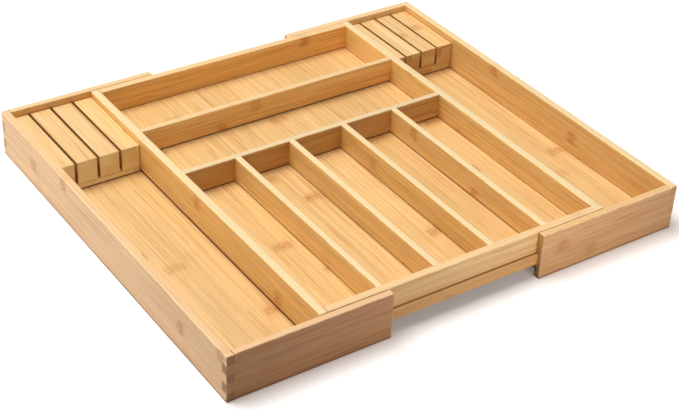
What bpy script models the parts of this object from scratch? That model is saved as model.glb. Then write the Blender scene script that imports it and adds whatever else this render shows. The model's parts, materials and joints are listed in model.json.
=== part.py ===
"""Expandable bamboo drawer organizer.

A fixed centre tray carries a glued rail along its front and its back wall. A side tray slides on
those rails at each end, and a removable knife block stands in the back of each side tray.

+X is the width, +Y runs from front to back, +Z is up. The origin is the middle of the footprint,
on the surface that the organizer stands on. All sizes are in metres.
"""

import bmesh
import bpy
from mathutils import Vector

# ---------------------------------------------------------------- driving dimensions
overall_height = 0.0500
overall_depth = 0.4540
centre_width = 0.3245
left_opening = 0.0890            # clear width of the left side tray, as it stands drawn out
right_opening = 0.0812           # clear width of the right side tray, as it stands drawn out

side_board_thickness = 0.0080
end_board_thickness = 0.0075     # front and back boards of the side trays
end_board_length = 0.1700
centre_wall_thickness = 0.0085
divider_thickness = 0.0068
panel_thickness = 0.0050
panel_groove_depth = 0.0030
panel_end_inset = 0.0010         # a side tray's floor stops this far short of its boards' free ends

side_floor_height = 0.0113       # top of the side trays' floor
centre_floor_height = 0.0223     # top of the centre tray's floor

rail_bottom = 0.0150
rail_height = 0.0120
rail_protrusion = 0.0031         # how far the rail stands out of the centre tray's wall
rail_seat_depth = 0.0020         # how deep the rail is let into the wall

rear_compartment_depth = 0.0832
second_compartment_depth = 0.0818
short_divider_count = 4
finger_count = 5                 # fingers of each corner joint, the side piece holding both outer ones

slot_width = 0.0030
slots_per_block = 3
block_height = 0.0314
outer_bar_width = 0.0195         # the bar on the +X side of each block
left_block = {"depth": 0.1088, "base": 0.0061, "pitch": 0.0243}
right_block = {"depth": 0.0915, "base": 0.0086, "pitch": 0.0214}

edge_ease = 0.0006               # radius of the sanded edges
ease_segments = 2

# ---------------------------------------------------------------- fits
seat_gap = 0.0003                # between pieces that are glued or that rest on each other
slide_gap = 0.0005               # between the centre tray and the side trays' boards
groove_gap = 0.0004              # around the rail in its groove
block_gap = 0.0005               # around a knife block in its side tray
cut_margin = 0.0050              # how far a cutter reaches past the face it opens

# ---------------------------------------------------------------- places worked out from them
overall_width = 2 * side_board_thickness + left_opening + centre_width + right_opening
x_left = -overall_width / 2
x_right = overall_width / 2
y_front = -overall_depth / 2
y_back = overall_depth / 2

x_centre_left = x_left + side_board_thickness + left_opening
x_centre_right = x_centre_left + centre_width
y_centre_front = y_front + end_board_thickness + slide_gap
y_centre_back = y_back - end_board_thickness - slide_gap
z_centre_bottom = side_floor_height + slide_gap
z_panel_bottom = centre_floor_height - panel_thickness

x_inner_left = x_centre_left + centre_wall_thickness
x_inner_right = x_centre_right - centre_wall_thickness
y_inner_front = y_centre_front + centre_wall_thickness
y_inner_back = y_centre_back - centre_wall_thickness
y_rear_divider = y_inner_back - rear_compartment_depth - divider_thickness
y_cross_divider = y_rear_divider - second_compartment_depth - divider_thickness
z_rail_top = rail_bottom + rail_height


# ---------------------------------------------------------------- making pieces
def clear_scene():
    """Remove every object of the scene."""
    for scene_object in list(bpy.data.objects):
        bpy.data.objects.remove(scene_object, do_unlink=True)


def new_collection(name):
    """A collection of that name, linked to the scene."""
    collection = bpy.data.collections.new(name)
    bpy.context.scene.collection.children.link(collection)
    return collection


def wood(name, colour, roughness=0.55):
    """A plain wood finish for one piece."""
    material = bpy.data.materials.new(name)
    material.use_nodes = True
    shader = material.node_tree.nodes["Principled BSDF"]
    shader.inputs["Base Color"].default_value = (*colour, 1.0)
    shader.inputs["Roughness"].default_value = roughness
    shader.inputs["Metallic"].default_value = 0.0
    return material


def move_to(piece, collection):
    """Take a new object out of the active collection and put it in its own."""
    for old in list(piece.users_collection):
        old.objects.unlink(piece)
    collection.objects.link(piece)


def box(name, low, high, collection):
    """A box between two opposite corners, its origin in its middle and its scale applied."""
    low = Vector(low)
    high = Vector(high)
    bpy.ops.mesh.primitive_cube_add(size=1.0, location=(low + high) / 2)
    piece = bpy.context.object
    piece.name = name
    piece.data.name = name
    piece.scale = high - low
    bpy.ops.object.transform_apply(location=False, rotation=False, scale=True)
    move_to(piece, collection)
    return piece


def ease(piece, eased):
    """Round the edges of a plain box for which eased(middle of the edge, its direction) is true."""
    mesh = bmesh.new()
    mesh.from_mesh(piece.data)
    weight = mesh.edges.layers.float.new("bevel_weight_edge")
    for edge in mesh.edges:
        start, end = (vertex.co for vertex in edge.verts)
        direction = max(range(3), key=lambda axis: abs((end - start)[axis]))
        if eased((start + end) / 2, "xyz"[direction]):
            edge[weight] = 1.0
    mesh.to_mesh(piece.data)
    mesh.free()
    rounding = piece.modifiers.new("eased_edges", "BEVEL")
    rounding.width = edge_ease
    rounding.segments = ease_segments
    rounding.limit_method = "WEIGHT"


def cut(piece, boxes):
    """Cut boxes, each a (low, high) pair of corners, out of a piece."""
    for number, (low, high) in enumerate(boxes, 1):
        cutter = box(f"{piece.name}_cutter_{number}", low, high, cutters)
        cutter.hide_render = True
        cutter.display_type = "WIRE"
        removal = piece.modifiers.new(f"cut_{number}", "BOOLEAN")
        removal.operation = "DIFFERENCE"
        removal.solver = "EXACT"
        removal.object = cutter


def fit(name, low, high, carrier, finish, eased=None, cuts=()):
    """One wooden piece: a box on the body it moves with, its eased edges, its cuts, its finish."""
    piece = box(name, low, high, organizer)
    piece.parent = carrier
    piece.matrix_parent_inverse = carrier.matrix_world.inverted()
    piece.data.materials.append(wood(f"{name}_wood", finish))
    if eased:
        ease(piece, eased)
    cut(piece, cuts)
    return piece


def joint_frame(name, place, parent=None):
    """An empty on the joint's axis of a body that moves."""
    empty = bpy.data.objects.new(name, None)
    empty.location = Vector(place)
    organizer.objects.link(empty)
    if parent:
        bpy.context.view_layer.update()
        empty.parent = parent
        empty.matrix_parent_inverse = parent.matrix_world.inverted()
    bpy.context.view_layer.update()
    return empty


def finger_notches(low, high, bottom, top, odd):
    """The notches that one piece of a corner joint loses, between two plan corners.

    The height from bottom to top is shared by equal fingers, counted from 0. The odd ones are cut
    where odd is true and the even ones elsewhere. An outermost notch runs past the board's edge.
    """
    step = (top - bottom) / finger_count
    notches = []
    for finger in range(1 if odd else 0, finger_count, 2):
        notch_bottom = bottom + finger * step - seat_gap / 2
        notch_top = bottom + (finger + 1) * step + seat_gap / 2
        if finger == 0:
            notch_bottom -= cut_margin
        if finger == finger_count - 1:
            notch_top += cut_margin
        notches.append(((*low, notch_bottom), (*high, notch_top)))
    return notches


def grown(low, high, gap):
    """A box made larger by a gap on every side."""
    return (tuple(value - gap for value in low), tuple(value + gap for value in high))


def long_edges(axis):
    """Chooses the edges that run along one axis."""
    return lambda middle, direction: direction == axis


def all_edges(middle, direction):
    """Chooses every edge."""
    return True


# ---------------------------------------------------------------- the wood of each kind of piece
rim_wood = (0.72, 0.45, 0.21)
wall_wood = (0.58, 0.31, 0.12)
floor_wood = (0.80, 0.50, 0.20)
block_wood = (0.68, 0.43, 0.18)


# ---------------------------------------------------------------- centre tray
def build_centre_tray(body):
    """Four finger-jointed walls round a floor in grooves, six dividers and two glued rails."""
    floor_low = (x_inner_left - panel_groove_depth + seat_gap,
                 y_inner_front - panel_groove_depth + seat_gap, z_panel_bottom)
    floor_high = (x_inner_right + panel_groove_depth - seat_gap,
                  y_inner_back + panel_groove_depth - seat_gap, centre_floor_height)
    floor_groove = grown(floor_low, floor_high, seat_gap)
    fit("centre_bottom_panel", floor_low, floor_high, body, floor_wood)

    rails = {}
    for side, wall_face, outward in (("front", y_centre_front, -1), ("back", y_centre_back, 1)):
        faces = sorted((wall_face + outward * rail_protrusion, wall_face - outward * rail_seat_depth))
        rails[side] = ((x_centre_left, faces[0], rail_bottom), (x_centre_right, faces[1], z_rail_top))
        fit(f"{side}_slide_rail", *rails[side], body, wall_wood, long_edges("x"))
    rail_seats = [grown(*rail, seat_gap) for rail in rails.values()]

    corner = centre_wall_thickness + seat_gap
    for side, low_x in (("left", x_centre_left), ("right", x_inner_right)):
        high_x = low_x + centre_wall_thickness
        notches = []
        for near, far in ((y_centre_front - cut_margin, y_centre_front + corner),
                          (y_centre_back - corner, y_centre_back + cut_margin)):
            notches += finger_notches((low_x - cut_margin, near), (high_x + cut_margin, far),
                                      z_centre_bottom, overall_height, odd=True)
        fit(f"centre_{side}_wall", (low_x, y_centre_front, z_centre_bottom),
            (high_x, y_centre_back, overall_height), body, wall_wood, long_edges("y"),
            [*notches, floor_groove, *rail_seats])

    for side, low_y in (("front", y_centre_front), ("back", y_inner_back)):
        high_y = low_y + centre_wall_thickness
        notches = []
        for near, far in ((x_centre_left - cut_margin, x_centre_left + corner),
                          (x_centre_right - corner, x_centre_right + cut_margin)):
            notches += finger_notches((near, low_y - cut_margin), (far, high_y + cut_margin),
                                      z_centre_bottom, overall_height, odd=False)
        fit(f"centre_{side}_wall", (x_centre_left, low_y, z_centre_bottom),
            (x_centre_right, high_y, overall_height), body, wall_wood, long_edges("x"),
            [*notches, floor_groove, grown(*rails[side], seat_gap)])

    z_low = centre_floor_height + seat_gap
    for name, low_y in (("rear_divider", y_rear_divider), ("cross_divider", y_cross_divider)):
        fit(name, (x_inner_left + seat_gap, low_y, z_low),
            (x_inner_right - seat_gap, low_y + divider_thickness, overall_height),
            body, rim_wood, long_edges("x"))

    inner_width = x_inner_right - x_inner_left
    compartments = short_divider_count + 1
    cell_width = (inner_width - short_divider_count * divider_thickness) / compartments
    for number in range(1, compartments):
        low_x = x_inner_left + number * cell_width + (number - 1) * divider_thickness
        fit(f"short_divider_{number}", (low_x, y_inner_front + seat_gap, z_low),
            (low_x + divider_thickness, y_cross_divider - seat_gap, overall_height),
            body, rim_wood, long_edges("y"))


# ---------------------------------------------------------------- side trays
def build_side_tray(side, outward, body):
    """A side board finger-jointed to a front and a back board, with a floor and two rail grooves.

    outward is -1 for the left tray and 1 for the right one.
    """
    x_outer = x_left if outward < 0 else x_right

    def span(near, far):
        """The low and high x of a piece that lies near to far inwards of the tray's outer face."""
        return sorted((x_outer - outward * near, x_outer - outward * far))

    floor_x = span(side_board_thickness - panel_groove_depth + seat_gap, end_board_length - panel_end_inset)
    floor_reach = end_board_thickness - panel_groove_depth + seat_gap
    floor_low = (floor_x[0], y_front + floor_reach, side_floor_height - panel_thickness)
    floor_high = (floor_x[1], y_back - floor_reach, side_floor_height)
    fit(f"{side}_bottom_panel", floor_low, floor_high, body, floor_wood)

    groove_x = span(side_board_thickness - panel_groove_depth, end_board_length + cut_margin)
    floor_groove = ((groove_x[0], floor_low[1] - seat_gap, floor_low[2] - seat_gap),
                    (groove_x[1], floor_high[1] + seat_gap, floor_high[2] + seat_gap))

    board_x = span(0, side_board_thickness)
    notches = []
    for near, far in ((y_front - cut_margin, y_front + end_board_thickness + seat_gap),
                      (y_back - end_board_thickness - seat_gap, y_back + cut_margin)):
        notches += finger_notches((board_x[0] - cut_margin, near), (board_x[1] + cut_margin, far),
                                  0.0, overall_height, odd=True)
    fit(f"{side}_side_board", (board_x[0], y_front, 0.0), (board_x[1], y_back, overall_height),
        body, wall_wood, long_edges("y"), [*notches, floor_groove])

    end_x = span(0, end_board_length)
    corner_x = span(-cut_margin, side_board_thickness + seat_gap)
    rail_x = span(side_board_thickness, end_board_length + cut_margin)
    rail_reach = rail_protrusion - slide_gap + groove_gap
    for end, low_y, inner_face, inward in (("front", y_front, y_front + end_board_thickness, 1),
                                           ("back", y_back - end_board_thickness,
                                            y_back - end_board_thickness, -1)):
        notches = finger_notches((corner_x[0], low_y - cut_margin),
                                 (corner_x[1], low_y + end_board_thickness + cut_margin),
                                 0.0, overall_height, odd=False)
        groove_y = sorted((inner_face - inward * rail_reach, inner_face + inward * cut_margin))
        rail_groove = ((rail_x[0], groove_y[0], rail_bottom - groove_gap),
                       (rail_x[1], groove_y[1], z_rail_top + groove_gap))
        fit(f"{side}_{end}_board", (end_x[0], low_y, 0.0),
            (end_x[1], low_y + end_board_thickness, overall_height),
            body, wall_wood, long_edges("x"), [*notches, floor_groove, rail_groove])


# ---------------------------------------------------------------- knife blocks
def build_knife_block(side, x_low, x_high, sizes, body):
    """A base layer with four upright bars glued on it, and a slot between each two bars."""
    block_back = y_back - end_board_thickness - block_gap
    block_front = block_back - sizes["depth"]
    base_bottom = side_floor_height + seat_gap
    base_top = base_bottom + sizes["base"]
    fit(f"{side}_block_base", (x_low, block_front, base_bottom), (x_high, block_back, base_top),
        body, block_wood, long_edges("z"))

    bars = slots_per_block + 1
    bar_right = x_high
    for bar in range(bars, 0, -1):
        slot_centre = x_high - outer_bar_width - slot_width / 2 - (bars - bar) * sizes["pitch"]
        bar_left = slot_centre + slot_width / 2 if bar > 1 else x_low
        fit(f"{side}_block_bar_{bar}", (bar_left, block_front, base_top + seat_gap),
            (bar_right, block_back, base_bottom + block_height), body, block_wood, all_edges)
        bar_right = slot_centre - slot_width / 2


# ---------------------------------------------------------------- the whole organizer
clear_scene()
organizer = new_collection("drawer_organizer")
cutters = new_collection("cutters")

centre_tray = joint_frame("centre_tray", (0, 0, 0))
rail_middle = rail_bottom + rail_height / 2
left_tray = joint_frame("left_tray", (x_left, 0, rail_middle), centre_tray)
right_tray = joint_frame("right_tray", (x_right, 0, rail_middle), centre_tray)

build_centre_tray(centre_tray)
build_side_tray("left", -1, left_tray)
build_side_tray("right", 1, right_tray)

block_places = (("left", left_tray, x_left + side_board_thickness, x_centre_left, left_block),
                ("right", right_tray, x_centre_right, x_right - side_board_thickness, right_block))
for block_side, tray, space_left, space_right, block_sizes in block_places:
    block_middle = ((space_left + space_right) / 2,
                    y_back - end_board_thickness - block_gap - block_sizes["depth"] / 2,
                    side_floor_height)
    block_body = joint_frame(f"{block_side}_knife_block", block_middle, tray)
    build_knife_block(block_side, space_left + block_gap, space_right - block_gap, block_sizes, block_body)
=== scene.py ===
# %% [markdown]
# # An expandable bamboo drawer organizer
#
# The organizer is a divided centre tray with a side tray at each end. The side trays slide on rails
# that are let into the centre tray, and a slotted knife block stands in the back of each of them.
# The joinery was worked out first and is loaded here as a fixed frame of plain solids. This lesson
# makes the visible boards around that frame: their sanded edges, their finger joints and, above all,
# the pressed bamboo they are cut from.

import json

import bmesh
import bpy
import numpy as np
from mathutils import Matrix, Quaternion, Vector


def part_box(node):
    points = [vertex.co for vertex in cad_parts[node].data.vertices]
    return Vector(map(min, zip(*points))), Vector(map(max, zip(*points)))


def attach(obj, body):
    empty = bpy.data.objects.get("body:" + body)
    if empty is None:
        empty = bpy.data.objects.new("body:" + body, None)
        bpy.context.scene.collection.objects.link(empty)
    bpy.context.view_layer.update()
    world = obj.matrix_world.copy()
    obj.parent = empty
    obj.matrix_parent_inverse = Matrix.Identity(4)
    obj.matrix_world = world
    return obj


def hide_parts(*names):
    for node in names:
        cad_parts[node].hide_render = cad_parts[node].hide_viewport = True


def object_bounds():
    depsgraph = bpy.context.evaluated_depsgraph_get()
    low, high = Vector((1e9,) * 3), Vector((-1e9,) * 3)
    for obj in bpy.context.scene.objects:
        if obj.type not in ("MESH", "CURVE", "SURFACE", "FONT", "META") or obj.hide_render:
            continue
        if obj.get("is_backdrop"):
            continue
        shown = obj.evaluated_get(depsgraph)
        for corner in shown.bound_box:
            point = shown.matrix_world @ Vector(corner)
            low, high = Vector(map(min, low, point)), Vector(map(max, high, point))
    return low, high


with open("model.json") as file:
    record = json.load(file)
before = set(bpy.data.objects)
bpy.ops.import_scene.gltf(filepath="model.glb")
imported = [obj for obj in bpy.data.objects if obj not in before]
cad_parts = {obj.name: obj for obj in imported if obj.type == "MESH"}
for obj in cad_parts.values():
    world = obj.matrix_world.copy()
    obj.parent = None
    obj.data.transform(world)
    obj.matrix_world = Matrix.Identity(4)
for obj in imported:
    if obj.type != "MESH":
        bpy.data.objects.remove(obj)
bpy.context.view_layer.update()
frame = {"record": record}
body_of = {node: body for body, nodes in frame["record"]["behaviour"]["bodies"].items() for node in nodes}

# %% [markdown]
# ## The camera
#
# The organizer is looked down on from its front left corner with a long lens, from about three times
# its own width away, so its edges stay nearly parallel. A camera can be placed by a matrix, but a
# reader learns more from where it is aimed, which way it looks, how far off it is and how much it
# is rolled, so those are the numbers here.

# %% Camera
camera_aim = Vector((-0.0331, -0.0638, 0.0250))
camera_azimuth = np.radians(-35.44)
camera_elevation = np.radians(34.28)
camera_distance = 1.5101
camera_roll = np.radians(2.96)
camera_lens = 82.52

camera_data = bpy.data.cameras.new("camera")
camera = bpy.data.objects.new("camera", camera_data)
bpy.context.scene.collection.objects.link(camera)
bpy.context.scene.camera = camera
away = Vector((
    np.sin(camera_azimuth) * np.cos(camera_elevation),
    -np.cos(camera_azimuth) * np.cos(camera_elevation),
    np.sin(camera_elevation),
))
camera.location = camera_aim + away * camera_distance
camera.rotation_mode = "QUATERNION"
camera.rotation_quaternion = (-away).to_track_quat("-Z", "Y") @ Quaternion((0, 0, 1), camera_roll)
camera_data.lens = camera_lens
camera_data.clip_start = 0.05
print("camera stands at", [round(value, 3) for value in camera.location])

# %% [markdown]
# ## Light and floor
#
# This is a tabletop set: a white table, a big soft box high above the object and a little behind it,
# and two small ones low down, in front and on the left, that stop the outer boards going dead. The
# sky fills in the rest. Only one lamp is strong, because two equal ones would draw two shadows.

# %% Light
sky_strength = 0.23
key_direction = Vector((-0.26, 0.20, 0.945))
key_distance = 3.2
key_size = 2.1
key_power = 108.0
fill_place = Vector((0.10, -0.54, 0.08))
fill_aim = Vector((0.16, -0.22, 0.035))
fill_size = 0.16
fill_power = 0.55
side_fill_place = Vector((-1.00, 0.48, 0.16))
side_fill_aim = Vector((-0.25, 0.0, 0.02))
side_fill_size = 0.3
side_fill_power = 2.6


def soft_box(name, place, aim, size, power):
    """Add a square area lamp at a place, turned towards a point."""
    lamp_data = bpy.data.lights.new(name, "AREA")
    lamp_data.shape = "SQUARE"
    lamp_data.size = size
    lamp_data.energy = power
    lamp = bpy.data.objects.new(name, lamp_data)
    bpy.context.scene.collection.objects.link(lamp)
    lamp.location = place
    lamp.rotation_mode = "QUATERNION"
    lamp.rotation_quaternion = (Vector(aim) - Vector(place)).to_track_quat("-Z", "Y")


soft_box("key", key_direction.normalized() * key_distance, (0, 0, 0), key_size, key_power)
soft_box("fill", fill_place, fill_aim, fill_size, fill_power)
soft_box("side_fill", side_fill_place, side_fill_aim, side_fill_size, side_fill_power)

world = bpy.data.worlds.new("sky")
bpy.context.scene.world = world
world.use_nodes = True
sky = world.node_tree
sky.nodes.clear()
sky_rays = sky.nodes.new("ShaderNodeLightPath")
sky_seen = sky.nodes.new("ShaderNodeMapRange")
sky_background = sky.nodes.new("ShaderNodeBackground")
sky_output = sky.nodes.new("ShaderNodeOutputWorld")
sky_seen.inputs["To Min"].default_value = sky_strength
sky_seen.inputs["To Max"].default_value = 1.0
sky_direct = sky.nodes.new("ShaderNodeMath")
sky_direct.operation = "MAXIMUM"
sky.links.new(sky_rays.outputs["Is Camera Ray"], sky_direct.inputs[0])
sky.links.new(sky_rays.outputs["Is Glossy Ray"], sky_direct.inputs[1])
sky.links.new(sky_direct.outputs["Value"], sky_seen.inputs["Value"])
sky.links.new(sky_seen.outputs["Result"], sky_background.inputs["Strength"])
sky.links.new(sky_background.outputs["Background"], sky_output.inputs["Surface"])
bpy.context.scene.view_settings.view_transform = "Standard"
print("sky strength:", sky_strength)

# %% [markdown]
# ## Shader helpers
#
# A node tree written out socket by socket is hard to read. These helpers make a node or two each and
# return the output, so that an effect can be written nearly as the sum it is.


# %% Helpers that add nodes
def put(tree, socket, value):
    """Link an output to a socket, or set the socket to a plain value."""
    if isinstance(value, bpy.types.NodeSocket):
        tree.links.new(value, socket)
    else:
        socket.default_value = value


def maths(tree, operation, *values):
    """One Math node."""
    node = tree.nodes.new("ShaderNodeMath")
    node.operation = operation
    for socket, value in zip(node.inputs, values):
        put(tree, socket, value)
    return node.outputs["Value"]


def vector_maths(tree, operation, *values):
    """One Vector Math node."""
    node = tree.nodes.new("ShaderNodeVectorMath")
    node.operation = operation
    for socket, value in zip(node.inputs, values):
        put(tree, socket, value)
    return node.outputs["Vector"]


def soft_step(tree, value, start, end, from_value=0.0, to_value=1.0):
    """A value that goes smoothly from one level to another as its input goes from start to end."""
    node = tree.nodes.new("ShaderNodeMapRange")
    node.interpolation_type = "SMOOTHSTEP"
    levels = {"From Min": start, "From Max": end, "To Min": from_value, "To Max": to_value}
    for name, level in levels.items():
        put(tree, node.inputs[name], level)
    put(tree, node.inputs["Value"], value)
    return node.outputs["Result"]


def colour_mix(tree, amount, first, second):
    """One colour Mix node."""
    node = tree.nodes.new("ShaderNodeMix")
    node.data_type = "RGBA"
    put(tree, node.inputs[0], amount)
    put(tree, node.inputs[6], first)
    put(tree, node.inputs[7], second)
    return node.outputs[2]


def noise(tree, position, scale, detail=2.0, roughness=0.5):
    """Noise whose grains are stretched: scale is how many fit in a metre on each axis."""
    node = tree.nodes.new("ShaderNodeTexNoise")
    put(tree, node.inputs["Vector"], vector_maths(tree, "MULTIPLY", position, scale))
    node.inputs["Scale"].default_value = 1.0
    node.inputs["Detail"].default_value = detail
    node.inputs["Roughness"].default_value = roughness
    return node.outputs["Fac"]


def open_group(name, inputs, outputs):
    """A new node group with named sockets, and its input and output nodes."""
    group = bpy.data.node_groups.new(name, "ShaderNodeTree")
    for socket_name, kind, default in inputs:
        socket = group.interface.new_socket(socket_name, in_out="INPUT", socket_type=kind)
        if default is not None:
            socket.default_value = default
    for socket_name, kind in outputs:
        group.interface.new_socket(socket_name, in_out="OUTPUT", socket_type=kind)
    entry = group.nodes.new("NodeGroupInput")
    result = group.nodes.new("NodeGroupOutput")
    return group, entry.outputs, result.inputs


print("shader helpers: maths, vector_maths, soft_step, colour_mix, noise and open_group")

# %% [markdown]
# ## The table
#
# The table is a plain white sweep. To the camera it is white. To the light that bounces off it, it is
# a dark grey, which keeps the fronts of the boards warm and deep. Both are one diffuse surface, so
# the organizer's soft shadow still falls on it, and a faint warm glow keeps that shadow from going
# cold, as light that has bounced off the wood would.

# %% Table
table_half_width = 6.0
table_white = (0.955, 0.955, 0.960, 1.0)
table_bounce = (0.26, 0.25, 0.24, 1.0)
table_glow = 0.18
glow_colour = (1.0, 0.84, 0.72, 1.0)
table_roughness = 0.9

table_mesh = bpy.data.meshes.new("table")
table_edges = [-table_half_width, table_half_width]
corner_x, corner_y = np.meshgrid(table_edges, table_edges)
table_points = np.stack([corner_x.ravel(), corner_y.ravel(), np.zeros(4)], -1)
table_mesh.from_pydata(table_points.tolist(), [], [(0, 1, 3, 2)])
table = bpy.data.objects.new("table", table_mesh)
bpy.context.scene.collection.objects.link(table)
table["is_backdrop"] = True

table_paint = bpy.data.materials.new("table_paint")
table_paint.use_nodes = True
tree = table_paint.node_tree
shader = tree.nodes["Principled BSDF"]
rays = tree.nodes.new("ShaderNodeLightPath")
seen = maths(tree, "MAXIMUM", rays.outputs["Is Camera Ray"], rays.outputs["Is Glossy Ray"])
put(tree, shader.inputs["Base Color"], colour_mix(tree, seen, table_bounce, table_white))
put(tree, shader.inputs["Emission Strength"], maths(tree, "MULTIPLY", seen, table_glow))
shader.inputs["Emission Color"].default_value = glow_colour
shader.inputs["Roughness"].default_value = table_roughness
shader.inputs["Specular IOR Level"].default_value = 0.0
table_mesh.materials.append(table_paint)
print("table:", 2 * table_half_width, "m square")

# %% [markdown]
# ## Pressed bamboo
#
# A bamboo board is not a plank. It is a stack of strips split from the cane, each a couple of
# centimetres wide, glued side by side and in layers. Five things make it read as bamboo: every strip
# has its own tone, fine straight fibres run its whole length, every strip carries a knuckle, the
# ring that the cane had, every thirty centimetres or so, a hair of glue shows between the strips,
# and the cut ends show the fibres as dots.
#
# All of that can be one solid pattern that fills space, so a board shows the right thing on its
# face, its edge and its end without any unwrapping. The pattern works on a position whose first
# axis runs along the fibres. It is one node group, so every board shares it with values of its own.

# %% Bamboo: the sockets of the group
bamboo, given, made = open_group(
    "pressed_bamboo",
    [
        ("Position", "NodeSocketVector", None),
        ("End Grain", "NodeSocketFloat", 0.0),
        ("Edge Grain", "NodeSocketFloat", 0.0),
        ("Ground", "NodeSocketColor", (0.90, 0.57, 0.25, 1.0)),
        ("Fibre", "NodeSocketColor", (0.66, 0.33, 0.10, 1.0)),
        ("Knuckle", "NodeSocketColor", (0.56, 0.215, 0.045, 1.0)),
        ("End Colour", "NodeSocketColor", (0.62, 0.33, 0.12, 1.0)),
        ("Edge Colour", "NodeSocketColor", (0.91, 0.74, 0.44, 1.0)),
        ("Strip Width", "NodeSocketFloat", 0.024),
        ("Layer Height", "NodeSocketFloat", 0.020),
        ("Knuckle Spacing", "NodeSocketFloat", 0.30),
        ("Strip Contrast", "NodeSocketFloat", 0.08),
        ("Fibre Contrast", "NodeSocketFloat", 0.70),
        ("Glue Darkness", "NodeSocketFloat", 0.15),
        ("Brick Contrast", "NodeSocketFloat", 0.15),
    ],
    [("Color", "NodeSocketColor"), ("Height", "NodeSocketFloat"), ("Roughness", "NodeSocketFloat")],
)
axes = bamboo.nodes.new("ShaderNodeSeparateXYZ")
put(bamboo, axes.inputs[0], given["Position"])
along, across, through = axes.outputs
print("pressed bamboo takes", ", ".join(socket.name for socket in given if socket.name))

# %% [markdown]
# ### Strips and layers
#
# A strip is found by counting: how many strip widths to the side a point lies, and how many layers
# up. The pair of counts throws a die, and the throw gives that strip its tone, its warmth, the place
# of its knuckles and the piece of cane its fibres are taken from.

# %% Bamboo: strips and layers
layer_shift = 0.37
cane_spread = (3.0, 3.0, 3.0)

layer_count = maths(bamboo, "DIVIDE", through, given["Layer Height"])
layer = maths(bamboo, "FLOOR", layer_count)
strip_count = maths(bamboo, "DIVIDE", across, given["Strip Width"])
strip_count = maths(bamboo, "MULTIPLY_ADD", layer, layer_shift, strip_count)
strip = maths(bamboo, "FLOOR", strip_count)
across_strip = maths(bamboo, "FRACT", strip_count)
through_layer = maths(bamboo, "FRACT", layer_count)
off_middle = maths(bamboo, "ABSOLUTE", maths(bamboo, "SUBTRACT", across_strip, 0.5))
off_layer = maths(bamboo, "ABSOLUTE", maths(bamboo, "SUBTRACT", through_layer, 0.5))

which = bamboo.nodes.new("ShaderNodeCombineXYZ")
put(bamboo, which.inputs[0], strip)
put(bamboo, which.inputs[1], layer)
dice = bamboo.nodes.new("ShaderNodeTexWhiteNoise")
put(bamboo, dice.inputs["Vector"], which.outputs[0])
throws = bamboo.nodes.new("ShaderNodeSeparateXYZ")
put(bamboo, throws.inputs[0], dice.outputs["Color"])
own_tone = dice.outputs["Value"]
own_phase, own_knuckle, own_warmth = throws.outputs
cane = vector_maths(bamboo, "MULTIPLY_ADD", dice.outputs["Color"], cane_spread, given["Position"])
print("strips and layers take", len(bamboo.nodes), "nodes")

# %% [markdown]
# ### Fibres
#
# Fibres show at three scales: a fine hair of light and dark, crisp veins one fibre wide, and soft
# bands a few millimetres wide. Hair and bands are noise stretched along the cane. A vein is where
# another stretched noise passes its middle value, which draws thin unbroken lines.

# %% Bamboo: fibres
hair_grain = (8.0, 600.0, 600.0)
hair_span = (0.42, 0.60)
hair_share = 0.46
band_grain = (1.6, 90.0, 90.0)
band_span = (0.36, 0.64)
band_share = 0.12
vein_grain = (4.0, 300.0, 300.0)
vein_half = 0.040
vein_share = 0.56

hair = noise(bamboo, cane, hair_grain, detail=3.0, roughness=0.7)
hair = soft_step(bamboo, hair, *hair_span)
bands = noise(bamboo, cane, band_grain, detail=2.0)
bands = soft_step(bamboo, bands, *band_span)
vein = noise(bamboo, cane, vein_grain, detail=1.0)
vein = maths(bamboo, "ABSOLUTE", maths(bamboo, "SUBTRACT", vein, 0.5))
vein = soft_step(bamboo, vein, 0.0, vein_half, 1.0, 0.0)
fibres = maths(bamboo, "MULTIPLY", hair, hair_share)
fibres = maths(bamboo, "MULTIPLY_ADD", bands, band_share, fibres)
fibres = maths(bamboo, "MULTIPLY_ADD", vein, vein_share, fibres)
fibres = maths(bamboo, "MULTIPLY", fibres, given["Fibre Contrast"])
wood = colour_mix(bamboo, fibres, given["Ground"], given["Fibre"])
print("with the fibres,", len(bamboo.nodes), "nodes")

# %% [markdown]
# ### Tone and warmth
#
# Over the fibres lies the tone of the strip and a soft cloudiness that crosses the strips, which comes
# from the lacquer. A warm strip loses a little green and more blue, so it turns browner, not darker.

# %% Bamboo: tone and warmth
cloud_grain = (8.0, 24.0, 24.0)
cloud_contrast = 0.18
green_of_warmth = -0.4
blue_of_warmth = -1.3

tone = maths(bamboo, "SUBTRACT", own_tone, 0.5)
tone = maths(bamboo, "MULTIPLY_ADD", tone, given["Strip Contrast"], 1.0)
clouds = noise(bamboo, given["Position"], cloud_grain, detail=2.0)
tone = maths(bamboo, "MULTIPLY_ADD", maths(bamboo, "SUBTRACT", clouds, 0.5), cloud_contrast, tone)
warmth = maths(bamboo, "MULTIPLY", maths(bamboo, "SUBTRACT", own_warmth, 0.5), given["Strip Contrast"])
shade = bamboo.nodes.new("ShaderNodeCombineXYZ")
put(bamboo, shade.inputs[0], tone)
put(bamboo, shade.inputs[1], maths(bamboo, "MULTIPLY_ADD", warmth, green_of_warmth, tone))
put(bamboo, shade.inputs[2], maths(bamboo, "MULTIPLY_ADD", warmth, blue_of_warmth, tone))
wood = vector_maths(bamboo, "MULTIPLY", wood, shade.outputs[0])
print("clouds change the tone by up to", cloud_contrast / 2)

# %% [markdown]
# ### Knuckles
#
# A knuckle is not a drawn line. Where the cane had its ring, the fibres swell and darken for a few
# millimetres, each one starting a little earlier or later than its neighbour. So it is a short band
# across one strip, with a wavering edge, filled with short dark strokes that lie along the fibres.

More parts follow.
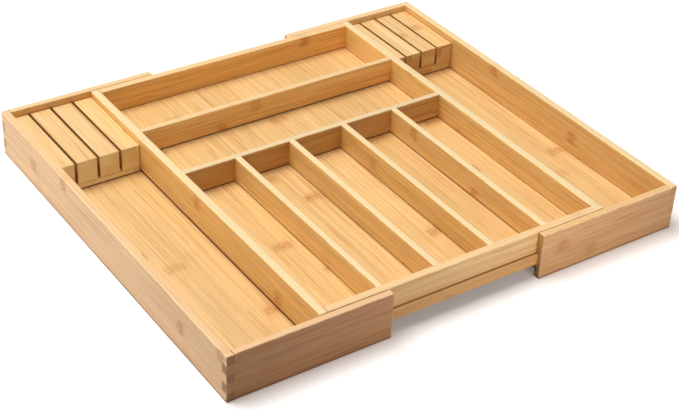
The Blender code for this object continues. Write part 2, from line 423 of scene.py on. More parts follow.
# %% Bamboo: knuckles
knuckle_bow = 0.010
knuckle_waver = 0.010
knuckle_half = 0.0080
knuckle_glow_reach = 0.014
knuckle_core = 0.3
waver_grain = (70.0, 950.0, 950.0)
stroke_grain = (380.0, 850.0, 850.0)
stroke_span = (0.42, 0.60)
strip_side = (0.34, 0.50)
strength_span = (0.10, 0.60)
faintest_knuckle = 0.15
glow_share = 0.42
mark_share = 0.86

phase = maths(bamboo, "ADD", maths(bamboo, "DIVIDE", along, given["Knuckle Spacing"]), own_phase)
phase = maths(bamboo, "SUBTRACT", maths(bamboo, "FRACT", phase), 0.5)
off_knuckle = maths(bamboo, "MULTIPLY", phase, given["Knuckle Spacing"])
bow = maths(bamboo, "POWER", off_middle, 2.0)
off_knuckle = maths(bamboo, "MULTIPLY_ADD", bow, knuckle_bow, off_knuckle)
waver = maths(bamboo, "SUBTRACT", noise(bamboo, cane, waver_grain, detail=3.0), 0.5)
off_knuckle = maths(bamboo, "MULTIPLY_ADD", waver, knuckle_waver, off_knuckle)
from_knuckle = maths(bamboo, "ABSOLUTE", off_knuckle)
knuckle_band = soft_step(bamboo, from_knuckle, knuckle_half * knuckle_core, knuckle_half, 1.0, 0.0)
knuckle_glow = soft_step(bamboo, from_knuckle, 0.0, knuckle_glow_reach, 1.0, 0.0)
strokes = soft_step(bamboo, noise(bamboo, cane, stroke_grain, detail=1.0), *stroke_span)
inside_strip = soft_step(bamboo, off_middle, *strip_side, 1.0, 0.0)
strength = soft_step(bamboo, own_knuckle, *strength_span, faintest_knuckle, 1.0)
strength = maths(bamboo, "MULTIPLY", strength, inside_strip)
strength = maths(bamboo, "MULTIPLY", strength, maths(bamboo, "SUBTRACT", 1.0, given["End Grain"]))
knuckle_mark = maths(bamboo, "MULTIPLY", maths(bamboo, "MULTIPLY", knuckle_band, strokes), strength)
glow = maths(bamboo, "MULTIPLY", maths(bamboo, "MULTIPLY", knuckle_glow, strength), glow_share)
wood = colour_mix(bamboo, glow, wood, given["Fibre"])
wood = colour_mix(bamboo, maths(bamboo, "MULTIPLY", knuckle_mark, mark_share), wood, given["Knuckle"])
print("knuckles are", round(2000 * knuckle_half, 1), "mm long")

# %% [markdown]
# ### Glue lines, edges and ends
#
# Where two strips or two layers meet, a hair of dark glue shows. The narrow side of a board cuts
# through the cane nearer its skin or its core, so it has another colour than the broad face; on the
# rails and the knife blocks that colour is painted dark brown shade instead. Cut across, the fibres
# are dots, and the ground between them has a colour of its own, which is darker on some strips than
# on others.

# %% Bamboo: glue lines, edges and ends
glue_hair = 0.0006
glue_core = 0.2
edge_share = 0.66
end_share = 0.95
brick_span = (0.35, 0.65)
dot_grain = (40.0, 1300.0, 1300.0)
dot_span = (0.46, 0.66)
dot_share = 0.18

from_seam = maths(bamboo, "MULTIPLY", maths(bamboo, "SUBTRACT", 0.5, off_middle), given["Strip Width"])
from_layer = maths(bamboo, "MULTIPLY", maths(bamboo, "SUBTRACT", 0.5, off_layer), given["Layer Height"])
nearest_seam = maths(bamboo, "MINIMUM", from_seam, from_layer)
glue = soft_step(bamboo, nearest_seam, glue_hair * glue_core, glue_hair, 1.0, 0.0)
wood = colour_mix(bamboo, maths(bamboo, "MULTIPLY", glue, given["Glue Darkness"]), wood, given["Knuckle"])

edge_wood = colour_mix(bamboo, edge_share, wood, given["Edge Colour"])
dots = soft_step(bamboo, noise(bamboo, given["Position"], dot_grain, detail=1.0), *dot_span)
brick = soft_step(bamboo, own_warmth, *brick_span)
brick = maths(bamboo, "MULTIPLY", brick, given["Brick Contrast"])
end_ground = colour_mix(bamboo, brick, given["End Colour"], given["Knuckle"])
end_wood = colour_mix(bamboo, end_share, wood, end_ground)
end_wood = colour_mix(bamboo, maths(bamboo, "MULTIPLY", dots, dot_share), end_wood, given["Knuckle"])
wood = colour_mix(bamboo, given["Edge Grain"], wood, edge_wood)
wood = colour_mix(bamboo, given["End Grain"], wood, end_wood)
put(bamboo, made["Color"], wood)
print("glue lines are", round(1000 * glue_hair, 1), "mm wide")

# %% [markdown]
# ### Relief and gloss
#
# The fibres, knuckles and glue lines that colour the wood are also felt with a fingertip, so the same
# masks lower the surface a little and dull the lacquer over them.

# %% Bamboo: relief and gloss
hair_relief = -0.35
vein_relief = -0.30
glue_relief = -0.50
knuckle_relief = -0.40
lacquer_roughness = 0.42
hair_dulling = 0.10
knuckle_dulling = 0.08
end_dulling = 0.14

height = maths(bamboo, "MULTIPLY_ADD", hair, hair_relief, 1.0)
height = maths(bamboo, "MULTIPLY_ADD", vein, vein_relief, height)
height = maths(bamboo, "MULTIPLY_ADD", glue, glue_relief, height)
height = maths(bamboo, "MULTIPLY_ADD", knuckle_mark, knuckle_relief, height)
height = maths(bamboo, "SUBTRACT", height, maths(bamboo, "MULTIPLY", dots, given["End Grain"]))
put(bamboo, made["Height"], height)
gloss = maths(bamboo, "MULTIPLY_ADD", hair, hair_dulling, lacquer_roughness)
gloss = maths(bamboo, "MULTIPLY_ADD", knuckle_mark, knuckle_dulling, gloss)
gloss = maths(bamboo, "MULTIPLY_ADD", given["End Grain"], end_dulling, gloss)
put(bamboo, made["Roughness"], gloss)
print("pressed bamboo group:", len(bamboo.nodes), "nodes")

# %% [markdown]
# ## What happens to every board
#
# Three small groups carry the effects that all boards share. The first tells a board's face, edge and
# end apart by the way the surface looks in the pattern's own axes. The second finds the seam where a
# board meets the next one and paints dark brown shade there, where that narrow joint lies in shade,
# and thins the lacquer coat over it. The third finds the rounded edges and makes them paler and
# duller, partly as wear from hands and sandpaper and partly as a painted highlight, and breaks them up
# so that they don't look drawn.

# %% Faces, edges and ends
end_turn = (0.55, 0.85)
edge_turn = (0.80, 0.95)

board_faces, face_given, face_made = open_group(
    "board_faces",
    [("Normal", "NodeSocketVector", None)],
    [("End Grain", "NodeSocketFloat"), ("Edge Grain", "NodeSocketFloat")],
)
looks = board_faces.nodes.new("ShaderNodeSeparateXYZ")
put(board_faces, looks.inputs[0], face_given["Normal"])
looks_along = maths(board_faces, "ABSOLUTE", looks.outputs[0])
looks_across = maths(board_faces, "ABSOLUTE", looks.outputs[1])
put(board_faces, face_made["End Grain"], soft_step(board_faces, looks_along, *end_turn))
put(board_faces, face_made["Edge Grain"], soft_step(board_faces, looks_across, *edge_turn))
print("board faces group:", len(board_faces.nodes), "nodes")

# %% Painted shade in the seams
far_away = 9.0
seam_shade_core = 0.6

seam_shade, seam_shade_given, seam_shade_made = open_group(
    "painted_seam_shade",
    [
        ("Position", "NodeSocketVector", None),
        ("Clean Low", "NodeSocketVector", (-far_away, -far_away, -far_away)),
        ("Clean High", "NodeSocketVector", (far_away, far_away, far_away)),
        ("Reach", "NodeSocketFloat", 0.0010),
        ("Amount", "NodeSocketFloat", 0.6),
    ],
    [("Painted Shade", "NodeSocketFloat")],
)
# Painted shade: the mask is full outside the unshaded box and near its sides, and fades out at Reach, so
# joints turn dark brown.
from_low = vector_maths(seam_shade, "SUBTRACT", seam_shade_given["Position"], seam_shade_given["Clean Low"])
from_high = vector_maths(seam_shade, "SUBTRACT", seam_shade_given["Clean High"], seam_shade_given["Position"])
sides = seam_shade.nodes.new("ShaderNodeSeparateXYZ")
put(seam_shade, sides.inputs[0], vector_maths(seam_shade, "MINIMUM", from_low, from_high))
nearest_side = maths(seam_shade, "MINIMUM", sides.outputs[0], sides.outputs[1])
nearest_side = maths(seam_shade, "MINIMUM", nearest_side, sides.outputs[2])
seam_shade_start = maths(seam_shade, "MULTIPLY", seam_shade_given["Reach"], seam_shade_core)
shadowed = soft_step(seam_shade, nearest_side, seam_shade_start, seam_shade_given["Reach"], 1.0, 0.0)
put(seam_shade, seam_shade_made["Painted Shade"], maths(seam_shade, "MULTIPLY", shadowed, seam_shade_given["Amount"]))
print("seam dust group:", len(seam_shade.nodes), "nodes")

# %% Wear and a painted highlight on the rounded edges
rub_grain = (120.0, 120.0, 120.0)
rub_span = (0.30, 0.62)

wear_and_highlight, wear_and_highlight_given, wear_and_highlight_made = open_group(
    "edge_wear_and_highlight",
    [
        ("Position", "NodeSocketVector", None),
        ("Rounded", "NodeSocketFloat", 0.0),
        ("Amount", "NodeSocketFloat", 0.35),
    ],
    [("Wear And Highlight", "NodeSocketFloat")],
)
# Paler rounded edges: partly wear, partly a painted highlight, broken up by noise.
rubbed_and_highlit = soft_step(wear_and_highlight, noise(wear_and_highlight, wear_and_highlight_given["Position"], rub_grain, detail=3.0), *rub_span)
rubbed_and_highlit = maths(wear_and_highlight, "MULTIPLY", rubbed_and_highlit, wear_and_highlight_given["Rounded"])
put(wear_and_highlight, wear_and_highlight_made["Wear And Highlight"], maths(wear_and_highlight, "MULTIPLY", rubbed_and_highlit, wear_and_highlight_given["Amount"]))
print("edge wear group:", len(wear_and_highlight.nodes), "nodes")

# %% [markdown]
# ## The finish of one board
#
# One function puts the groups together. A Mapping node turns the pattern so that its first axis runs
# along that board's fibres, and slides it to a fresh part of the stock, so no two boards show the
# same strips. The groups give colours and masks only. The shader itself, with its thin coat of
# lacquer, stays in the material.

# %% Finish for one board
grain_turns = {
    "floor": Matrix(((0, 1, 0), (-1, 0, 0), (0, 0, 1))),
    "upright_x": Matrix(((1, 0, 0), (0, 0, 1), (0, -1, 0))),
    "upright_y": Matrix(((0, 1, 0), (0, 0, 1), (1, 0, 0))),
}
lacquered_ground = (0.965, 0.645, 0.280)
lacquered_fibre = (0.64, 0.325, 0.085)
# The dark brown of the painted seam shade.
seam_shade_brown = (0.150, 0.014, 0.001, 1.0)
# The pale colour of the rounded edges: partly wear, partly a painted highlight.
worn_and_highlit_wood = (0.95, 0.76, 0.48, 1.0)
wear_dulling = 0.15
relief_depth = 0.0002
relief_strength = 0.35
coat_weight = 0.12
coat_roughness = 0.28
stock_spread = (1.0, 9.0)
dice_roll = np.random.default_rng(23)


def group_node(tree, group, **values):
    """One group node, with its inputs linked or set by their names, and its outputs."""
    node = tree.nodes.new("ShaderNodeGroup")
    node.node_tree = group
    for name, value in values.items():
        put(tree, node.inputs[name.replace("_", " ")], value)
    return node.outputs


def scaled(colour, tint):
    """A colour with its channels scaled by a tint, and no transparency."""
    return (*(channel * scale for channel, scale in zip(colour, tint)), 1.0)


def bamboo_finish(name, lie, tint, seam, stock):
    """A lacquered bamboo material whose fibres lie as asked: floor, upright_x or upright_y.

    tint scales the colours of the ground and the fibres, seam holds the values of the group that
    paints dark brown shade into the seams, and stock holds the pressed bamboo group's.
    """
    material = bpy.data.materials.new(name)
    material.use_nodes = True
    tree = material.node_tree
    shader = tree.nodes["Principled BSDF"]
    place = tree.nodes.new("ShaderNodeTexCoord")
    turn = grain_turns[lie].to_euler()
    pattern = tree.nodes.new("ShaderNodeMapping")
    pattern.inputs["Rotation"].default_value = turn
    pattern.inputs["Location"].default_value = dice_roll.uniform(*stock_spread, 3)
    put(tree, pattern.inputs["Vector"], place.outputs["Object"])
    facing = tree.nodes.new("ShaderNodeMapping")
    facing.vector_type = "NORMAL"
    facing.inputs["Rotation"].default_value = turn
    put(tree, facing.inputs["Vector"], place.outputs["Normal"])
    rounded = tree.nodes.new("ShaderNodeAttribute")
    rounded.attribute_name = "rounded"

    face = group_node(tree, board_faces, Normal=facing.outputs["Vector"])
    wood = group_node(
        tree,
        bamboo,
        Position=pattern.outputs["Vector"],
        End_Grain=face["End Grain"],
        Edge_Grain=face["Edge Grain"],
        Ground=scaled(lacquered_ground, tint),
        Fibre=scaled(lacquered_fibre, tint),
        **stock,
    )
    rounding = rounded.outputs["Fac"]
    # Rounded edges turn paler and duller: partly wear, partly a painted highlight.
    worn_and_highlit = group_node(tree, wear_and_highlight, Position=pattern.outputs["Vector"], Rounded=rounding)["Wear And Highlight"]
    # Painted shade: seams turn dark brown, as the joint's shade would fall, and the coat thins there.
    shadowed = group_node(tree, seam_shade, Position=place.outputs["Object"], **seam)["Painted Shade"]
    worn_and_highlit_colour = colour_mix(tree, worn_and_highlit, wood["Color"], worn_and_highlit_wood)
    put(tree, shader.inputs["Base Color"], colour_mix(tree, shadowed, worn_and_highlit_colour, seam_shade_brown))
    gloss = maths(tree, "MULTIPLY_ADD", worn_and_highlit, wear_dulling, wood["Roughness"])
    put(tree, shader.inputs["Roughness"], gloss)
    relief = tree.nodes.new("ShaderNodeBump")
    relief.inputs["Strength"].default_value = relief_strength
    relief.inputs["Distance"].default_value = relief_depth
    put(tree, relief.inputs["Height"], wood["Height"])
    put(tree, shader.inputs["Normal"], relief.outputs["Normal"])
    put(tree, shader.inputs["Coat Weight"], maths(tree, "MULTIPLY_ADD", shadowed, -coat_weight, coat_weight))
    shader.inputs["Coat Roughness"].default_value = coat_roughness
    return material


print("finishes can lie", ", ".join(grain_turns))

# %% [markdown]
# ## Straight pieces
#
# Dividers, floors, rails and the bars of the knife blocks are straight sticks of wood. A cube with a
# bevel would do for one of them, but it rounds the ends as much as the long edges, and on the real
# organizer the ends are sawn square and pushed up against a wall while the long edges are sanded.
# So each piece is a rounded rectangle carried along its length, and only the first and last rings
# are drawn in a little to break the sawn edge.


# %% Straight pieces
edge_steps = 5
rim_ease = 0.0011
joint_ease = 0.00008
same_point = 1e-7


def node_box(node):
    """The lowest and highest corner of a solid of the frame, as arrays."""
    low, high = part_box(node)
    return np.array(low), np.array(high)


def mesh_piece(name, points, faces):
    """A mesh object from points and a list of faces."""
    mesh = bpy.data.meshes.new(name)
    mesh.from_pydata(points.tolist(), [], faces)
    piece = bpy.data.objects.new(name, mesh)
    bpy.context.scene.collection.objects.link(piece)
    return piece


def merge_doubles(piece):
    """Make one point of points that coincide, and drop the empty faces between them."""
    mesh = bmesh.new()
    mesh.from_mesh(piece.data)
    bmesh.ops.remove_doubles(mesh, verts=mesh.verts, dist=same_point)
    mesh.to_mesh(piece.data)
    mesh.free()


def rounded_stick(name, low, high, axis, radius, end_ease):
    """A box whose long edges are rounded by radius and whose end edges by end_ease.

    With the rounding's angle t from 0 to a quarter turn at each of the four corners, a ring point is
    corner centre + (radius - inset) * (cos t, sin t). Near an end, with an angle s from a quarter
    turn down to 0, inset = end_ease * (1 - cos s) at end_ease * (1 - sin s) from that end. Where
    end_ease is as large as radius, the corners of the outermost rings shrink to single points.
    """
    side_a = (axis + 1) % 3
    side_b = (axis + 2) % 3
    turn = np.repeat(np.arange(4), edge_steps)
    angle = np.tile(np.linspace(0, np.pi / 2, edge_steps), 4) + turn * np.pi / 2
    sign_a = np.where((turn == 0) | (turn == 3), 1, -1)
    sign_b = np.where(turn < 2, 1, -1)
    ease = np.linspace(np.pi / 2, 0, edge_steps)
    reach = end_ease * (1 - np.sin(ease))
    inset = end_ease * (1 - np.cos(ease))
    stations = np.concatenate([low[axis] + reach, (high[axis] - reach)[::-1]])[:, None]
    insets = np.concatenate([inset, inset[::-1]])[:, None]
    middle = (low + high) / 2
    half = (high - low) / 2
    points = np.empty((stations.size, angle.size, 3))
    points[..., axis] = stations
    ring_radius = radius - insets
    points[..., side_a] = middle[side_a] + sign_a * (half[side_a] - radius) + ring_radius * np.cos(angle)
    points[..., side_b] = middle[side_b] + sign_b * (half[side_b] - radius) + ring_radius * np.sin(angle)
    around = angle.size
    ring, place = np.meshgrid(np.arange(stations.size - 1), np.arange(around), indexing="ij")
    near = ring * around
    far = near + around
    after = (place + 1) % around
    quads = np.stack([near + place, near + after, far + after, far + place], -1).reshape(-1, 4)
    cap = np.arange(around)
    last = points.shape[0] * around - around
    faces = [tuple(quad) for quad in quads.tolist()] + [cap[::-1].tolist(), (cap + last).tolist()]
    piece = mesh_piece(name, points.reshape(-1, 3), faces)
    merge_doubles(piece)
    return piece


print("a rounded edge takes", edge_steps, "points")

# %% [markdown]
# ## Jointed boards
#
# The outer boards are harder. They have square fingers at their ends, a groove for the floor and, in
# the end boards of the side trays, a groove for the rail. Boolean cuts would do it, but they leave
# ragged meshes that don't round well. These boards only have square-cut features, so a board can be
# seen as a small grid of cells, some wood and some air. Its skin is every face between the two.


# %% Boards made of cells
flush = 1e-5
short_edge = 0.02
flat_angle = np.radians(1)
sanded_segments = 3
finger_count = 5
margin = 0.01


def carved_skin(low, high, cuts):
    """Points and outward quads of a block with smaller boxes cut out of it.

    The planes of the block and of every cut split it into cells. A cell is wood unless its middle
    lies in a cut, and the skin is the faces where wood changes to air along any axis.
    """
    planes = []
    for axis in range(3):
        found = [low[axis], high[axis]] + [corner[axis] for cut in cuts for corner in cut]
        planes.append(np.unique(np.round(np.clip(found, low[axis], high[axis]), 6)))
    middles = np.meshgrid(*[(plane[1:] + plane[:-1]) / 2 for plane in planes], indexing="ij")
    wood = np.ones(middles[0].shape, bool)
    for cut_low, cut_high in cuts:
        inside = [(middles[axis] > cut_low[axis]) & (middles[axis] < cut_high[axis]) for axis in range(3)]
        wood &= ~(inside[0] & inside[1] & inside[2])
    points = np.stack(np.meshgrid(*planes, indexing="ij"), -1)
    number = np.arange(points[..., 0].size).reshape(points.shape[:3])
    quads = []
    for axis in range(3):
        order = (axis, (axis + 1) % 3, (axis + 2) % 3)
        change = np.diff(np.pad(wood, 1).transpose(order).astype(int), axis=0)[:, 1:-1, 1:-1]
        corner = number.transpose(order)
        before = corner[:, :-1]
        after = corner[:, 1:]
        around = np.stack([before[..., :-1], after[..., :-1], after[..., 1:], before[..., 1:]], -1)
        quads.append(around[change < 0])
        quads.append(around[change > 0][:, ::-1])
    quads = np.concatenate(quads)
    used, quads = np.unique(quads, return_inverse=True)
    return points.reshape(-1, 3)[used], quads.reshape(-1, 4)


def settle(piece):
    """Give a piece the mesh that its modifiers make of it, and take the modifiers away."""
    graph = bpy.context.evaluated_depsgraph_get()
    settled = bpy.data.meshes.new_from_object(piece.evaluated_get(graph))
    piece.modifiers.clear()
    piece.data = settled


def carved_board(name, low, high, cuts, axis, outline, foot_sanded):
    """A board with cuts: its sanded edges are rounded by rim_ease and all others by joint_ease.

    An edge is sanded where it lies on two planes of the whole tray's outline, or where it runs
    along the board at the rim. The edges underneath are only sanded where foot_sanded is true.
    """
    points, quads = carved_skin(low, high, cuts)
    piece = mesh_piece(name, points, quads.tolist())
    mesh = bmesh.new()
    mesh.from_mesh(piece.data)
    bmesh.ops.dissolve_limit(mesh, angle_limit=flat_angle, verts=mesh.verts, edges=mesh.edges)
    mesh.to_mesh(piece.data)
    mesh.free()

    count = len(piece.data.vertices)
    place = np.empty(count * 3)
    piece.data.vertices.foreach_get("co", place)
    place = place.reshape(-1, 3)
    ends = np.empty(len(piece.data.edges) * 2, int)
    piece.data.edges.foreach_get("vertices", ends)
    start, end = place[ends.reshape(-1, 2)].transpose(1, 0, 2)
    middle = (start + end) / 2
    length = np.abs(end - start)
    direction = length.argmax(1)
    on_outline = (np.abs(middle - outline[0]) < flush) | (np.abs(middle - outline[1]) < flush)
    on_outline[np.arange(direction.size), direction] = False
    if not foot_sanded:
        on_outline[:, 2] &= middle[:, 2] > outline[0][2] + flush
    at_rim = (direction == axis) & (length.max(1) > short_edge) & (middle[:, 2] > high[2] - flush)
    sanded = (on_outline.sum(1) > 1) | at_rim
    weight = piece.data.attributes.new("bevel_weight_edge", "FLOAT", "EDGE")
    weight.data.foreach_set("value", np.where(sanded, 1.0, joint_ease / rim_ease))
    rounding = piece.modifiers.new("sanded_edges", "BEVEL")
    rounding.width = rim_ease
    rounding.segments = sanded_segments
    rounding.limit_method = "WEIGHT"
    rounding.use_clamp_overlap = False
    settle(piece)
    return piece


def finger_notches(low, high, bottom, top, odd, gap):
    """Notches, between two plan corners, that one board of a corner joint loses.

    The height is shared by equal fingers counted from 0. Where odd is true the odd ones are cut
    away, and otherwise the even ones, each a gap wider than the finger that fills it.
    """
    step = (top - bottom) / finger_count
    finger = np.arange(1 if odd else 0, finger_count, 2)
    lows = bottom + finger * step - np.where(finger == 0, margin, gap / 2)
    highs = bottom + (finger + 1) * step + np.where(finger == finger_count - 1, margin, gap / 2)
    return [((*low, notch_low), (*high, notch_high)) for notch_low, notch_high in zip(lows, highs)]


print("jointed boards have", finger_count, "fingers at each corner")

# %% [markdown]
# ## Putting a piece in its place
#
# Every piece stands for one solid of the frame and moves with the body that carried it. Its flat
# faces are shaded flat and its rounded edges smooth, which keeps wide faces free of false shading.
# The rounded faces are also marked, because the finish makes them paler, partly as wear and partly as a
# painted highlight.


# %% Dress a piece
flat_enough = 0.9999


def dress(piece, node, finish):
    """Shade, mark and finish a piece, and let it take the place of a solid of the frame."""
    mesh = piece.data
    normal = np.empty(len(mesh.polygons) * 3)
    mesh.polygons.foreach_get("normal", normal)
    rounded = np.abs(normal.reshape(-1, 3)).max(1) < flat_enough
    mesh.polygons.foreach_set("use_smooth", rounded)
    mark = mesh.attributes.new("rounded", "FLOAT", "FACE")
    mark.data.foreach_set("value", rounded.astype(float))
    mesh.materials.clear()
    mesh.materials.append(finish)
    mesh.update()
    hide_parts(node)
    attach(piece, body_of[node])


print("a dressed piece takes its body from", len(body_of), "solids")

# %% [markdown]
# ## The stock
#
# Three kinds of stock are pressed. Uprights and rails are cut from boards of narrow strips, floors
# from wider ones, and the knife blocks from short thick bricks glued in layers, whose ends show as a
# chequer of light and dark, darker and stronger on the right block than on the left. Bamboo is never
# one colour, so every board also gets a tint of its own, and some rims are paler or browner than
# others. Some tints are painted light and shade, not the wood's own tone: the front boards and the
# cross divider are darkened for the shade they stand in, and the left side board is made bluer for
# a painted sheen of the white surroundings.

# %% Stock
upright_stock = {
    "Strip_Width": 0.0167,
    "Layer_Height": 0.03,
    "Strip_Contrast": 0.08,
    "Fibre_Contrast": 0.85,
}
floor_stock = {
    "Strip_Width": 0.0235,
    "Layer_Height": 0.02,
    "Strip_Contrast": 0.09,
    "Fibre_Contrast": 0.80,
}
block_stock = {
    "Strip_Width": 0.0230,
    "Layer_Height": 0.0104,
    "Strip_Contrast": 0.12,
    "Fibre_Contrast": 0.70,
    "Glue_Darkness": 0.55,
    "End_Colour": (1.0, 0.89, 0.50, 1.0),
    # Painted shade: the narrow sides of the bars and base, which line the slots, are dark brown for the
    # slots' shade.
    "Edge_Colour": (0.40, 0.15, 0.006, 1.0),
}
block_ends = {
    "left": {"Brick_Contrast": 0.22},
    "right": {"Brick_Contrast": 0.62, "End_Colour": (0.70, 0.50, 0.21, 1.0)},
}
# Painted shade: the rails' narrow top and underside are dark brown for the shade of the wall above.
rail_painted_shade_stock = upright_stock | {"Edge_Colour": (0.26, 0.11, 0.035, 1.0)}
warm_rim = (0.88, 0.61, 0.33, 1.0)
board_stock = {
    "left_back_board": {"Edge_Colour": warm_rim},
    "right_back_board": {"Edge_Colour": warm_rim},
    "centre_back_wall": {"Edge_Colour": warm_rim},
    "centre_front_wall": {"Edge_Colour": (0.86, 0.60, 0.32, 1.0)},
    "left_front_board": {"Edge_Colour": (0.94, 0.63, 0.34, 1.0), "End_Colour": (0.32, 0.15, 0.06, 1.0)},
    "right_front_board": {"Edge_Colour": (0.88, 0.58, 0.25, 1.0)},
    "left_side_board": {"Edge_Colour": (0.81, 0.53, 0.26, 1.0), "End_Colour": (0.34, 0.15, 0.06, 1.0)},
    "right_side_board": {"Edge_Colour": (0.95, 0.75, 0.41, 1.0)},
    "rear_divider": {"Edge_Colour": (0.84, 0.59, 0.31, 1.0)},
}
board_tints_and_shade = {
    "centre_front_wall": (1.04, 0.97, 0.96),
    "centre_left_wall": (0.93, 0.90, 0.74),
    "centre_right_wall": (0.92, 0.89, 0.73),
    "centre_back_wall": (1.05, 0.98, 0.78),
    "rear_divider": (1.05, 1.02, 0.92),
    # Painted shade: the cross divider is darkened for the shade it stands in.
    "cross_divider": (0.71, 0.61, 0.47),
    "short_divider_1": (0.94, 0.92, 0.76),
    "short_divider_2": (0.93, 0.90, 0.74),
    "short_divider_3": (0.88, 0.83, 0.65),
    "short_divider_4": (0.93, 0.90, 0.76),
    # Painted shade: both front boards are darkened for the shade they stand in, the left one more.
    "left_front_board": (0.69, 0.50, 0.45),
    "right_front_board": (0.76, 0.60, 0.56),
    # Painted reflection: the left side board is made bluer for the sheen of the white surroundings.
    "left_side_board": (1.00, 0.96, 1.12),
    "left_back_board": (0.86, 0.76, 0.60),
    "right_side_board": (0.87, 0.80, 0.65),
    "front_slide_rail": (0.86, 0.69, 0.50),
    "back_slide_rail": (0.86, 0.69, 0.50),
}
floor_tint = (0.90, 0.89, 0.89)
block_tint = (0.97, 0.94, 0.95)
plain_tint = (1.0, 1.0, 1.0)
print("tinted boards:", ", ".join(board_tints_and_shade))

# %% Cut a board from its stock
# Painted shade: each seam paints dark brown shade on a piece near its foot, or on a floor near the walls,
# where the joint lies in shade; table_seam paints the contact shadow at the foot of the side trays'
# boards on the table.
open_seam = {"Reach": 0.0030, "Amount": 0.98}
tight_seam = {"Reach": 0.0015, "Amount": 0.90}
floor_seam = {"Reach": 0.0011, "Amount": 0.75}
table_seam = {"Reach": 0.0032, "Amount": 0.60}
no_seam = {"Amount": 0.0}


def standing_on(height, seam):
    """The seam of a piece whose foot is at a given height."""
    return seam | {"Clean_Low": (-far_away, -far_away, height)}


def stocked(piece, node, lie, seam, stock=upright_stock, tint=plain_tint):
    """Finish a piece from a stock, with the board's own tint and values, and put it in its place."""
    tint = board_tints_and_shade.get(node, tint)
    finish = bamboo_finish(node + "_bamboo", lie, tint, seam, stock | board_stock.get(node, {}))
    dress(piece, node, finish)


print("an open seam is dusty for", 1000 * open_seam["Reach"], "mm")

# %% [markdown]
# ## Boards that meet at a corner
#
# A tray's boards all run to its outline, and where two of them cross, one keeps the first, third and
# fifth finger of the corner and the other the second and fourth. So a corner only has to be given
# once, as a square in plan, and every board takes its own share away.

# %% Jointed board
joint_gap = 0.00005


def grown(box, gap):
    """A box grown by a gap on every side."""
    return box[0] - gap, box[1] + gap


def corner_squares(spans_x, spans_y):
    """The plan squares where boards cross, as pairs of corners."""
    return [((x[0], y[0]), (x[1], y[1])) for x in spans_x for y in spans_y]


def jointed_board(node, axis, tray, corners, cuts, foot_sanded):
    """A board of a tray that runs along an axis to the tray's outline and is fingered at its corners."""
    low, high = node_box(node)
    low[[axis, 2]] = tray[0][[axis, 2]]
    high[[axis, 2]] = tray[1][[axis, 2]]
    grow = np.array([margin, margin])
    grow[axis] = joint_gap
    notches = []
    for square_low, square_high in corners:
        square = (square_low - grow, square_high + grow)
        notches += finger_notches(*square, low[2], high[2], axis == 1, joint_gap)
    return carved_board(node + "_board", low, high, cuts + notches, axis, tray, foot_sanded)


print("fingers fit with", 1000 * joint_gap, "mm to spare")

# %% [markdown]
# ## The centre tray
#
# Four fingered boards stand around a floor that is held in a groove. The long walls stop a little
# above the floors of the side trays, which slide under them, and painted dark brown shade along the
# foot of each wall makes that opening show as a dark line.
# The two rails that carry the side trays lie in seats cut across the front and back.

# %% Centre tray walls
shadow_gap = 0.0004

left_low, left_high = node_box("centre_left_wall")
right_low, right_high = node_box("centre_right_wall")
front_low, front_high = node_box("centre_front_wall")
back_low, back_high = node_box("centre_back_wall")
centre_tray = (
    np.array([left_low[0], front_low[1], left_low[2] + shadow_gap]),
    np.array([right_high[0], back_high[1], left_high[2]]),
)
centre_corners = corner_squares(
    ((left_low[0], left_high[0]), (right_low[0], right_high[0])),
    ((front_low[1], front_high[1]), (back_low[1], back_high[1])),
)
centre_cuts = [grown(node_box(f"{end}_slide_rail"), joint_gap) for end in ("front", "back")]
centre_cuts.append(grown(node_box("centre_bottom_panel"), joint_gap))
centre_foot = centre_tray[0][2]
for node, axis, lie, seam in (
    ("centre_left_wall", 1, "upright_y", open_seam),
    ("centre_right_wall", 1, "upright_y", open_seam),
    ("centre_front_wall", 0, "upright_x", tight_seam),
    ("centre_back_wall", 0, "upright_x", tight_seam),
):
    piece = jointed_board(node, axis, centre_tray, centre_corners, centre_cuts, foot_sanded=False)
    stocked(piece, node, lie, standing_on(centre_foot, seam))
print("centre tray:", np.round(1000 * (centre_tray[1] - centre_tray[0]), 1), "mm")

# %% [markdown]
# ### Dividers and rails
#
# The dividers are the simplest pieces, slats with rounded rims. Their square ends are let into the
# walls by a little less than the rounding of a rim. Left flush with the wall, each end would stand
# in a small dark notch. The rails are slats on their sides, and the narrow top and underside of each
# are painted dark brown for the shade that the wall above casts on the top.

# %% Dividers and rails
divider_play = 0.0003
let_in = 0.98 * rim_ease
divider_seat = divider_play + let_in
thin_ease = rim_ease / 2
divider_foot = node_box("rear_divider")[0][2]
slats = {"rear_divider": 0, "cross_divider": 0} | {f"short_divider_{number}": 1 for number in range(1, 5)}
for node, axis in slats.items():
    low, high = node_box(node)
    low[axis] -= divider_seat
    high[axis] += divider_seat
    piece = rounded_stick(node + "_slat", low, high, axis, rim_ease, joint_ease)
    lie = ("upright_x", "upright_y")[axis]
    stocked(piece, node, lie, standing_on(divider_foot, tight_seam))
for node in ("front_slide_rail", "back_slide_rail"):
    piece = rounded_stick(node + "_strip", *node_box(node), 0, thin_ease, joint_ease)
    stocked(piece, node, "upright_x", no_seam, rail_painted_shade_stock)
print("dividers:", ", ".join(slats))

# %% [markdown]
# ## The side trays
#
# Each side tray has three boards, fingered at two corners and open towards the centre. The end boards
# are grooved for the floor, and slotted on the inside for the rail they slide along.

# %% Side tray boards
rail_play = 0.0004

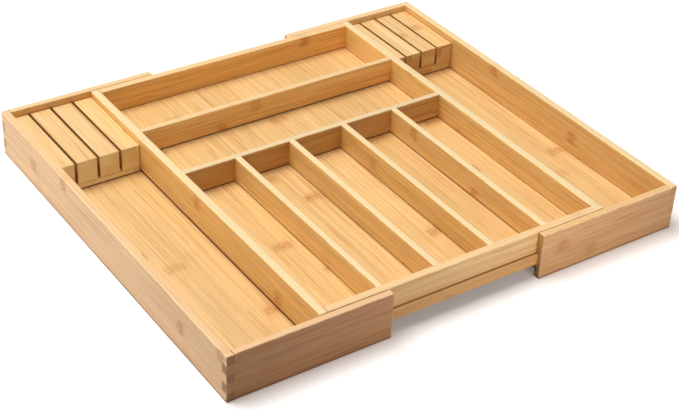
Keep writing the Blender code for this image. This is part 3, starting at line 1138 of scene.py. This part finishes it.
for side in ("left", "right"):
    side_low, side_high = node_box(f"{side}_side_board")
    end_boxes = {end: node_box(f"{side}_{end}_board") for end in ("front", "back")}
    lows, highs = zip((side_low, side_high), *end_boxes.values())
    tray_low = np.min(lows, axis=0)
    tray_high = np.max(highs, axis=0)
    tray = (tray_low, tray_high)
    end_spans = [(low[1], high[1]) for low, high in end_boxes.values()]
    corners = corner_squares([(side_low[0], side_high[0])], end_spans)
    if side == "left":
        open_x = (side_high[0] + joint_gap, tray_high[0] + margin)
    else:
        open_x = (tray_low[0] - margin, side_low[0] - joint_gap)
    groove_low, groove_high = grown(node_box(f"{side}_bottom_panel"), joint_gap)
    groove_low[0] = min(groove_low[0], open_x[0])
    groove_high[0] = max(groove_high[0], open_x[1])
    groove = (groove_low, groove_high)

    node = f"{side}_side_board"
    piece = jointed_board(node, 1, tray, corners, [groove], foot_sanded=True)
    stocked(piece, node, "upright_y", standing_on(0.0, table_seam))
    for end, (low, high) in end_boxes.items():
        slot_low, slot_high = grown(node_box(f"{end}_slide_rail"), rail_play)
        slot_low[0], slot_high[0] = open_x
        if end == "front":
            slot_high[1] = high[1] + margin
        else:
            slot_low[1] = low[1] - margin
        node = f"{side}_{end}_board"
        cuts = [groove, (slot_low, slot_high)]
        piece = jointed_board(node, 0, tray, corners, cuts, foot_sanded=True)
        stocked(piece, node, "upright_x", standing_on(0.0, table_seam))
    print(side, "tray:", np.round(1000 * (tray_high - tray_low), 1), "mm")

# %% [markdown]
# ## The floors
#
# The floors are thin wide boards held in the grooves. What shows is the top face between the walls,
# with a line of painted dark brown shade where it meets them, so each floor's unshaded space is what
# the walls leave open.

# %% Floors
open_spans = {
    "centre": ((left_high[0], front_high[1]), (right_low[0], back_low[1])),
    "left": (
        (node_box("left_side_board")[1][0], node_box("left_front_board")[1][1]),
        (far_away, node_box("left_back_board")[0][1]),
    ),
    "right": (
        (-far_away, node_box("right_front_board")[1][1]),
        (node_box("right_side_board")[0][0], node_box("right_back_board")[0][1]),
    ),
}
for place, (low, high) in open_spans.items():
    node = f"{place}_bottom_panel"
    piece = rounded_stick(node + "_floor", *node_box(node), 1, thin_ease, joint_ease)
    seam = floor_seam | {"Clean_Low": (*low, -far_away), "Clean_High": (*high, far_away)}
    stocked(piece, node, "floor", seam, floor_stock, floor_tint)
print("floors:", ", ".join(open_spans))

# %% [markdown]
# ## The knife blocks
#
# A knife block is a thick base with four bars on it, and the gaps between the bars are the slots that
# the blades go into. Every long edge is eased, so that a blade finds its slot, and the eased edges
# catch the light as thin pale lines, made paler still by the painted highlight of the rounded edges.
# The narrow sides of the bars, which line the slots, are painted dark brown for the shade inside them.

# %% Knife blocks
bar_ease = 0.0005
bars = range(1, 5)
for side, ends in block_ends.items():
    stock = block_stock | ends
    node = f"{side}_block_base"
    piece = rounded_stick(node + "_layer", *node_box(node), 1, bar_ease, bar_ease)
    seam = standing_on(node_box(node)[0][2], tight_seam)
    stocked(piece, node, "floor", seam, stock, block_tint)
    for number in bars:
        node = f"{side}_block_bar_{number}"
        piece = rounded_stick(node + "_bar", *node_box(node), 1, bar_ease, bar_ease)
        stocked(piece, node, "floor", no_seam, stock, block_tint)
print("bars on each block:", len(bars))

# %% [markdown]
# ## Size
#
# The visible boards may not grow past the solids they stand for. Their overall size is printed.

# %% Size
low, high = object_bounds()
print("visual size:", [round(1000 * (top - bottom), 2) for bottom, top in zip(low, high)], "mm")
